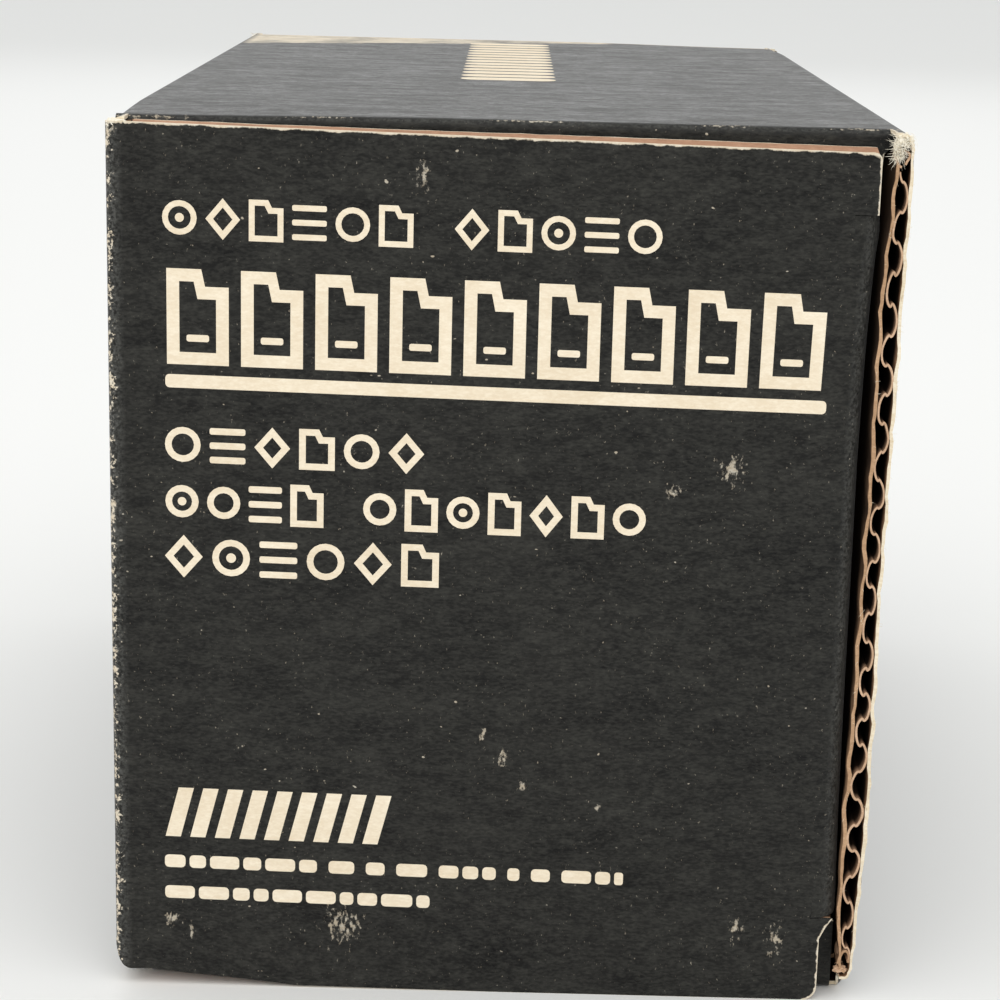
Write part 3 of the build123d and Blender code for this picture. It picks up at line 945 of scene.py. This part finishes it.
def raw_medium(end, angle):
    """The right wall's fluted sheet, whose crests are pressed and whose flanks are kinked."""
    chance = random.Random(11 if end == "front" else 12)
    middle = (medium_low.x + medium_high.x) / 2
    sheet = 0.26
    swing = (medium_high.x - medium_low.x) / 2 - sheet / 2
    depths = [0, 0.25, 0.6, 1.2, 2.4, 4.8, 9, 20, 45, 80, 110, medium_high.y - medium_low.y]
    rows = []
    for height, across in hooked_wave(4.0, 93.6, FLUTE_PITCH, chance):
        ragged = 0.16 * noise.noise(Vector((height * 0.7, across, 3)))
        row = []
        for depth in depths:
            pressed = smooth(depth, 0, 2.0)
            wander = 0.12 * noise.noise(Vector((height * 0.3, depth * 0.5, 7))) * (1 - pressed)
            inside = medium_low.y + depth + ragged * (1 - pressed)
            row.append(Vector((middle + swing * across, inside, height + wander)))
        rows.append(row)
    medium = thin_sheet(rows, sheet)
    move_points(medium, give_both_ends)
    piece = keep_piece(f"{end}_raw_medium", medium, [fluted_paper, raw_medium_paper], angle)
    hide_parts("tube_right_flutes" if end == "front" else "tube_left_flutes")
    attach(piece, "tube")


# ---------------------------------------------------------------- torn fibres

def add_fibre(mesh_builder, root, heading, length, thickness, chance):
    """One paper fibre: a thin tapering blade that bends as it leaves the edge."""
    heading = Vector(heading).normalized()
    bend = Vector([chance.uniform(-0.7, 0.7) for _ in range(3)])
    side = heading.orthogonal().normalized()
    other = heading.cross(side)
    rings = []
    for step in range(4):
        share = step / 4
        centre = root + (heading * share + bend * share * share) * length
        radius = thickness / 2 * (1 - 0.5 * share)
        ring = []
        for corner in range(3):
            turn = 2 * math.pi * corner / 3
            outwards = side * math.cos(turn) + other * math.sin(turn)
            ring.append(mesh_builder.verts.new(centre + outwards * radius))
        rings.append(ring)
    tip = mesh_builder.verts.new(root + (heading + bend) * length)
    mesh_builder.faces.new(list(reversed(rings[0])))
    for low_ring, high_ring in zip(rings, rings[1:]):
        for corner in range(3):
            after = (corner + 1) % 3
            mesh_builder.faces.new((low_ring[corner], low_ring[after], high_ring[after], high_ring[corner]))
    for corner in range(3):
        mesh_builder.faces.new((rings[-1][corner], rings[-1][(corner + 1) % 3], tip))


def add_crumple(mesh_builder, centre, size, seed, depth=0.35):
    """A small lump of crumpled paper."""
    made = bmesh.ops.create_icosphere(mesh_builder, subdivisions=3, radius=1.0)["verts"]
    for vert in made:
        swell = 1 + depth * noise.noise(vert.co * 1.6 + Vector((seed, 0, 0)))
        swell += depth * 0.6 * noise.noise(vert.co * 4.5 + Vector((0, seed, 0)))
        vert.co = Vector(centre) + Vector([vert.co[i] * size[i] * swell for i in range(3)])


def keep_in_box(mesh_builder):
    """Torn paper is pressed flat where it would stand out of the carton's own outline."""
    for vert in mesh_builder.verts:
        vert.co.x = min(max(vert.co.x, left), right)
        vert.co.y = max(vert.co.y, front)
        vert.co.z = min(max(vert.co.z, 0.02), top)


def keep_torn(name, mesh_builder, materials, angle):
    """Turns torn paper into a piece that rides on the tube."""
    bmesh.ops.recalc_face_normals(mesh_builder, faces=mesh_builder.faces)
    keep_in_box(mesh_builder)
    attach(keep_piece(name, mesh_builder, materials, angle), "tube")


def corner_tuft(end, angle):
    """The burst corner at the top of the raw edge: crumpled pale paper with fibres hanging from it."""
    chance = random.Random(31 if end == "front" else 32)
    tuft = bmesh.new()
    for centre, size, seed in (
        ((41.3, -72.35, 97.35), (0.62, 0.5, 0.5), 1.0),
        ((41.75, -72.2, 96.75), (0.36, 0.45, 0.5), 2.0),
        ((40.65, -72.45, 97.3), (0.5, 0.4, 0.42), 3.0),
        ((40.35, -72.3, 96.5), (0.3, 0.4, 0.6), 4.0),
        ((40.75, -72.4, 96.75), (0.3, 0.35, 0.36), 5.0),
        ((41.2, -72.45, 96.75), (0.3, 0.3, 0.3), 6.0),
        ((40.3, -72.35, 95.75), (0.2, 0.3, 0.45), 7.0),
    ):
        add_crumple(tuft, centre, size, seed, 0.75)
    for _ in range(260):
        along = chance.random()
        across = chance.uniform(40.1, 42.0 - 0.9 * along)
        root = Vector((across, chance.uniform(-72.9, -72.2), 97.8 - 2.6 * along))
        heading = (chance.uniform(-1.3, 0.6), chance.uniform(-0.5, 0.1), chance.uniform(-1.3, 0.6))
        add_fibre(tuft, root, heading, chance.uniform(0.3, 1.15), 0.07, chance)
    keep_torn(f"{end}_corner_tuft", tuft, [frayed_paper], angle)


def crushed_flute(end, angle):
    """The uppermost flute, pressed into a small ring under the burst corner."""
    rows = []
    for step in range(25):
        turn = math.radians(-60 + 330 * step / 24)
        reach = 0.72 + 0.12 * math.sin(3 * turn)
        row = []
        for depth in (0, 0.3, 1.0, 3.0):
            height = 95.3 + 1.1 * reach * math.sin(turn)
            row.append(Vector((40.95 + reach * math.cos(turn), -72.55 + depth, height)))
        rows.append(row)
    ring = thin_sheet(rows, 0.24)
    piece = keep_piece(f"{end}_crushed_flute", ring, [fluted_paper, raw_medium_paper], angle)
    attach(piece, "tube")


def crushed_foot(end, angle):
    """The lining and flute crumpled together at the foot of the raw edge."""
    rows = []
    for step in range(21):
        share = step / 20
        turn = math.radians(-30 + 300 * share)
        row = []
        for depth in (0, 0.3, 1.0, 3.5):
            x = 39.95 + 0.6 * math.cos(turn) + 0.2 * share
            z = 5.0 + 1.1 * math.sin(turn) - 0.6 * share
            row.append(Vector((x, -72.55 + depth, z)))
        rows.append(row)
    foot = thin_sheet(rows, 0.28)
    chance = random.Random(41)
    add_crumple(foot, (39.6, -72.1, 3.5), (0.8, 0.5, 0.42), 6.0, 0.4)
    for _ in range(8):
        root = Vector((chance.uniform(39.1, 40.3), -72.4, chance.uniform(3.0, 5.0)))
        add_fibre(foot, root, (chance.uniform(-1, 1), -0.3, chance.uniform(-0.8, 0.4)), 0.5, 0.06, chance)
    keep_torn(f"{end}_crushed_foot", foot, [raw_medium_paper, raw_kraft_paper], angle)


def edge_fibres(end, angle):
    """Short fibres along the raw edge's two sheets, in small tufts at a few places."""
    chance = random.Random(51 if end == "front" else 52)
    fuzz = bmesh.new()
    tufts = [87.6, 80.8, 71.6, 70.4, 58.0, 44.5, 33.0, 31.4, 19.0, 12.5]
    for number in range(330):
        height = chance.uniform(6, 93) if number % 2 else chance.choice(tufts) + chance.gauss(0, 0.45)
        outer = chance.random() < 0.7
        x = right - liner / 2 if outer else right - board + liner / 2
        root = Vector((x, wall_front + 0.05, height))
        root += give(root)
        sideways = chance.uniform(-0.25, 0.9) if outer else chance.uniform(-0.6, 0.6)
        heading = (sideways, chance.uniform(-0.6, -0.1), chance.uniform(-0.8, 0.8))
        add_fibre(fuzz, root, heading, chance.uniform(0.15, 0.5), 0.045, chance)
    keep_torn(f"{end}_edge_fibres", fuzz, [torn_paper], angle)


def worn_top_corner(end, angle):
    """The worn corner where the closure's crease meets the top panel."""
    chance = random.Random(61 if end == "front" else 62)
    worn = bmesh.new()
    add_crumple(worn, (-41.7, -72.35, 96.95), (0.72, 0.55, 0.5), 8.0, 0.5)
    add_crumple(worn, (-41.0, -72.3, 97.15), (0.75, 0.55, 0.26), 9.0, 0.4)
    for _ in range(24):
        root = Vector((chance.uniform(-42.2, -40.6), -72.6, chance.uniform(96.5, 97.3)))
        heading = (chance.uniform(-0.8, 0.6), -0.2, chance.uniform(-1.0, 0.4))
        add_fibre(worn, root, heading, chance.uniform(0.3, 0.7), 0.05, chance)
    keep_torn(f"{end}_worn_top_corner", worn, [frayed_paper], angle)


# ---------------------------------------------------------------- the plain sheet in the creases

def crease_lining(name, bodies, wall_edge, flap_edge, axis_place, along, low, high, angle):
    """The plain sheet where it is pinched into a crease, with a leg to the wall and a leg to the flap."""
    inwards = ((wall_edge + flap_edge) / 2 - axis_place).normalized()
    wallwards = along.cross(inwards)
    if (wall_edge - flap_edge).dot(wallwards) < 0:
        wallwards = -wallwards
    pinch = axis_place + inwards * 0.17
    path = [wall_edge.lerp(pinch + wallwards * 0.1, step / 4) for step in range(5)]
    path.append(axis_place + inwards * 0.04)
    path += [(pinch - wallwards * 0.1).lerp(flap_edge, step / 4) for step in range(5)]
    rows = [[place + along * height for height in [low] + evenly(low, high, 4.0) + [high]] for place in path]
    lining = thin_sheet(rows, 0.13)
    piece = keep_piece(name, lining, [kraft_paper, raw_kraft_paper], angle)
    bend_between(piece, *bodies, axis_place + wallwards * 0.03, axis_place - wallwards * 0.03, angle)


def crease_linings(end, angle):
    """The pinched sheets of the closure's crease and of both dust flaps' creases."""
    wall_edge = Vector((left + board - liner / 2, lining_high.y + 0.24, 0))
    flap_edge = Vector((lining_low.x - 0.03, lining_high.y - liner / 2, 0))
    bodies = ("tube", f"{end}_closure")
    corner = Vector((hinge.x, hinge.y, 0))
    low, high = crease_low.z + 0.1, crease_high.z - 0.1
    crease_lining(f"{end}_closure_crease_lining", bodies, wall_edge, flap_edge, corner, UP, low, high, angle)
    for panel, side in (("top", 1), ("bottom", -1)):
        flap_low, flap_high = edges_of(f"front_{panel}_dust_flap_inner_liner")
        panel_face = top if side > 0 else 0.0
        root = flap_high.z + 0.03 if side > 0 else flap_low.z - 0.03
        corner = Vector((0, dust_axis.y, panel_face - side * (top - dust_axis.z)))
        wall_edge = Vector((0, flap_high.y + 0.24, panel_face - side * (board - liner / 2)))
        flap_edge = Vector((0, flap_high.y - liner / 2, root))
        bodies = ("tube", f"{end}_{panel}_dust_flap")
        name = f"{end}_{panel}_dust_crease_lining"
        low, high = flap_low.x + 0.2, flap_high.x - 0.2
        crease_lining(name, bodies, wall_edge, flap_edge, corner, ACROSS, low, high, angle)


# ---------------------------------------------------------------- the closure's raw edges

def closure_raw_edge(end, angle, upper):
    """The flute that shows between the closure's two liners along its cut top or bottom edge."""
    rows = []
    reach = closure_reach - (0.5 if upper else 2.0)
    for step in range(79):
        x = closure_low.x + 0.2 + reach * step / 78
        edge = sagged(x, crease_high.z if upper else crease_low.z)
        row = []
        for depth in (0.45, 0.9, 1.5, 2.1, 2.42, 2.75):
            ripple = 0.05 * noise.noise(Vector((x * 0.5, depth, 5)))
            rise = 0.14 + 0.26 * smooth(x, -30, 30) if upper else 0.0
            level = edge - 0.16 + ripple + rise * smooth(depth, 0.6, 2.5) if upper else edge + 0.16 + ripple
            row.append(Vector((x, front + depth, level)) + free_side_push(Vector((x, front, level))))
        rows.append(row)
    strip = thin_sheet(rows, 0.12)
    for face in strip.faces:
        if face.calc_center_median().y > front + 2.3:
            face.material_index = 1
    name = f"{end}_closure_raw_{'top' if upper else 'bottom'}"
    piece = keep_piece(name, strip, [closure_medium_paper, torn_paper], angle)
    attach(piece, f"{end}_closure")


# ---------------------------------------------------------------- print on the closure and the top panel

def thicken(mesh_builder, lift):
    """Gives flat print its thickness."""
    faces = mesh_builder.faces[:]
    grown = bmesh.ops.extrude_face_region(mesh_builder, geom=faces, use_keep_orig=True)["geom"]
    verts = [item for item in grown if isinstance(item, bmesh.types.BMVert)]
    bmesh.ops.translate(mesh_builder, verts=verts, vec=lift)
    bmesh.ops.recalc_face_normals(mesh_builder, faces=mesh_builder.faces)


def add_ring(mesh_builder, outline, inner_outline, level):
    """A closed line of print between two outlines with the same number of points."""
    outer = [mesh_builder.verts.new(level(point)) for point in outline]
    inner = [mesh_builder.verts.new(level(point)) for point in inner_outline]
    for number in range(len(outline)):
        after = (number + 1) % len(outline)
        mesh_builder.faces.new((outer[number], outer[after], inner[after], inner[number]))


def add_patch(mesh_builder, outline, level):
    """A filled shape of print."""
    mesh_builder.faces.new([mesh_builder.verts.new(level(point)) for point in outline])


def bar(x, z, width, height, roundness=0.3):
    """A bar with rounded corners, as an outline."""
    radius = min(width, height) * roundness
    outline = []
    for corner_x, corner_z, start in (
        (x + width - radius, z + radius, -90),
        (x + width - radius, z + height - radius, 0),
        (x + radius, z + height - radius, 90),
        (x + radius, z + radius, 180),
    ):
        for step in range(4):
            turn = math.radians(start + 30 * step)
            outline.append((corner_x + radius * math.cos(turn), corner_z + radius * math.sin(turn)))
    return outline


def card(x, z, width, height, inset=0.0):
    """An index card with a tab on its upper edge, as an outline set in by the inset."""
    low_x, high_x, low_z, high_z = x + inset, x + width - inset, z + inset, z + height - inset
    shoulder = z + height * 0.82 - inset
    tab_end = x + width * 0.56 - inset * 0.6
    foot = [(low_x, low_z), (high_x, low_z)]
    return foot + [(high_x, shoulder), (tab_end + 0.4, shoulder), (tab_end, high_z), (low_x, high_z)]


def oval(x, z, width, height, inset=0.0):
    """A ring or dot, as an outline set in by the inset."""
    outline = []
    for step in range(20):
        turn = 2 * math.pi * step / 20
        across = (width / 2 - inset) * math.cos(turn)
        outline.append((x + width / 2 + across, z + height / 2 + (height / 2 - inset) * math.sin(turn)))
    return outline


def add_motif(mesh_builder, kind, x, z, width, height, stroke, level):
    """One small pattern mark: a card, a ring, a lozenge, a ring with a dot or a pair of stacked bars."""
    middle_x, middle_z = x + width / 2, z + height / 2
    if kind == 0:
        add_ring(mesh_builder, card(x, z, width, height), card(x, z, width, height, stroke), level)
    elif kind in (1, 3):
        size = min(width, height)
        low_x, low_z = middle_x - size / 2, middle_z - size / 2
        add_ring(mesh_builder, oval(low_x, low_z, size, size), oval(low_x, low_z, size, size, stroke), level)
        if kind == 3:
            dot = size * 0.26
            add_patch(mesh_builder, oval(middle_x - dot / 2, middle_z - dot / 2, dot, dot), level)
    elif kind == 2:
        reach = [(-1, 0), (0, -1), (1, 0), (0, 1)]
        outer = [(middle_x + a * width / 2, middle_z + b * height / 2) for a, b in reach]
        slim = 1 - 2.6 * stroke / min(width, height)
        inner = [(middle_x + a * width / 2 * slim, middle_z + b * height / 2 * slim) for a, b in reach]
        add_ring(mesh_builder, outer, inner, level)
    else:
        for share in (0.1, 0.45, 0.8):
            add_patch(mesh_builder, bar(x, z + height * share - stroke * 0.2, width, stroke), level)


def add_row(mesh_builder, low_x, high_x, low_z, high_z, stroke, groups, level, seed):
    """A row of pattern marks in groups with gaps between them, filling the given place."""
    chance = random.Random(seed)
    gaps = len(groups) - 1
    pitch = (high_x - low_x) / (sum(groups) + 0.75 * gaps - 0.2)
    x = low_x
    last = 0
    for group in groups:
        for _ in range(group):
            kind = chance.choice([k for k in range(5) if k != last])
            last = kind
            add_motif(mesh_builder, kind, x, low_z, pitch * 0.8, high_z - low_z, stroke, level)
            x += pitch
        x += 0.75 * pitch


def front_print():
    """Generic patterns in the places of the front's print: two headings, a rule, three rows, a block of
    slanted bars and two rows of dashes."""
    printed = bmesh.new()

    def level(point):
        place = Vector((point[0], front + PRINT_LIFT, sagged(point[0], point[1])))
        return place + free_side_push(place)

    add_row(printed, -36.5, 16.2, 85.2, 89.6, 0.62, [6, 5], level, 5)
    for number in range(9):
        x = -36.1 + 7.9 * number
        add_ring(printed, card(x, 71.7, 6.6, 10.3), card(x, 71.7, 6.6, 10.3, 1.35), level)
        add_patch(printed, bar(x + 2.1, 74.2, 2.4, 0.75), level)
    add_patch(printed, bar(-36.3, 69.15, 70.7, 1.45), level)
    add_row(printed, -36.4, -8.5, 60.7, 65.2, 0.72, [6], level, 6)
    add_row(printed, -36.4, 15.6, 54.3, 59.0, 0.72, [4, 7], level, 7)
    add_row(printed, -36.5, -6.7, 48.1, 52.9, 0.72, [6], level, 8)
    for number in range(9):
        x = -36.7 + 2.75 * number
        add_patch(printed, [(x, 18.0), (x + 1.7, 18.0), (x + 3.2, 23.8), (x + 1.5, 23.8)], level)
    chance = random.Random(9)
    for low_z, high_x in ((14.3, 14.2), (10.6, -6.0)):
        x = -36.8
        while x < high_x:
            length = min(chance.uniform(1.2, 3.6), high_x - x + 0.4)
            add_patch(printed, bar(x, low_z, length, 1.5), level)
            x += length + chance.choice((0.45, 0.45, 1.3))
    thicken(printed, -INWARDS * PRINT_LIFT)
    piece = keep_piece("front_print", printed, [pale_print])
    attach(piece, "front_closure")


def top_print():
    """A row of plain bars, in the place of the top panel's print."""
    printed = bmesh.new()
    level = lambda point: Vector((point[1], point[0], top - PRINT_LIFT))
    for number in range(7):
        y = -14.7 + 10.9 * number
        add_patch(printed, bar(y, -6.6, 4.1, 12.2, 0.48), level)
        add_patch(printed, bar(y + 5.5, -6.6, 3.9, 12.2, 0.48), level)
    thicken(printed, UP * PRINT_LIFT)
    piece = keep_piece("top_print", printed, [pale_print])
    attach(piece, "tube")


for end, angle in ENDS.items():
    closure_skin(end, angle)
    tuck_skin(end, angle)
    for panel in ("top", "bottom"):
        dust_skin(end, angle, panel)
    raw_medium(end, angle)
    corner_tuft(end, angle)
    crushed_flute(end, angle)
    crushed_foot(end, angle)
    edge_fibres(end, angle)
    worn_top_corner(end, angle)
    closure_raw_edge(end, angle, True)
    closure_raw_edge(end, angle, False)
    crease_linings(end, angle)
tube_skin()
tube_lining()
front_print()
top_print()


# ---------------------------------------------------------------- stage, light and camera

def make_stage():
    """A pale table that runs out of sight."""
    material, tree, shader = new_material("pale_table")
    shader.inputs["Base Color"].default_value = (0.87, 0.87, 0.86, 1)
    shader.inputs["Roughness"].default_value = 0.6
    mesh_builder = bmesh.new()
    bmesh.ops.create_grid(mesh_builder, x_segments=1, y_segments=1, size=6.0)
    mesh = bpy.data.meshes.new("table")
    mesh_builder.to_mesh(mesh)
    mesh_builder.free()
    mesh.materials.append(material)
    table = bpy.data.objects.new("table", mesh)
    bpy.context.scene.collection.objects.link(table)


def area_lamp(name, place, aim, size, watts, colour=(1, 1, 1)):
    """A soft square lamp that points at a place."""
    data = bpy.data.lights.new(name, "AREA")
    data.shape, data.size, data.energy, data.color = "SQUARE", size, watts, colour
    lamp = bpy.data.objects.new(name, data)
    lamp.location = place
    lamp.rotation_euler = (Vector(aim) - Vector(place)).to_track_quat("-Z", "Y").to_euler()
    bpy.context.scene.collection.objects.link(lamp)


def make_light():
    """A white room, a large lamp over the front and a weak one behind."""
    world = bpy.data.worlds.new("studio")
    world.use_nodes = True
    world.node_tree.nodes["Background"].inputs["Color"].default_value = (0.98, 0.99, 0.985, 1)
    world.node_tree.nodes["Background"].inputs["Strength"].default_value = 0.84
    bpy.context.scene.world = world
    area_lamp("key_light", (-0.08, -0.8, 1.05), (0, 0, 0.03), size=1.6, watts=8.8, colour=(1, 0.985, 0.96))
    area_lamp("back_light", (0.0, 1.1, 0.75), (0, 0, 0.08), size=0.9, watts=1.6)


LENS_PIXELS = 2488.0  # the lens's length, in pixels of a picture that is PICTURE_PIXELS wide
PICTURE_PIXELS = 1000.0
SENSOR = 36.0
EYE = (-0.21, -333.89, 122.03)
LOOK = (-0.0005, 0.9708, -0.2399)
PICTURE_UP = (-0.0246, 0.2398, 0.9705)


def make_camera():
    """The photograph's viewpoint: a quarter of a metre in front of the closure, a little above the top."""
    data = bpy.data.cameras.new("camera")
    data.sensor_width = SENSOR
    data.lens = LENS_PIXELS / PICTURE_PIXELS * SENSOR
    data.shift_x = 0.001
    data.clip_start = 0.01
    camera = bpy.data.objects.new("camera", data)
    back = -Vector(LOOK).normalized()
    aside = Vector(PICTURE_UP).cross(back).normalized()
    turn = Matrix((aside, back.cross(aside), back)).transposed().to_4x4()
    camera.matrix_world = Matrix.Translation(Vector(EYE) * MM) @ turn
    bpy.context.scene.collection.objects.link(camera)
    bpy.context.scene.camera = camera


NODE_FINISH = {
    "printed_liner": flap_print,
    "kraft_liner": kraft_paper,
    "fluted_medium": fluted_paper,
    "glue": glue_film,
}
slot_of = {part["node"]: part["material_slot"] for part in frame["record"]["subparts"]}
for name, node in frame["nodes"].items():
    for slot in node.material_slots:
        slot.material = NODE_FINISH[slot_of[name]]

make_stage()
make_light()
make_camera()
bpy.context.scene.view_settings.view_transform = "Standard"
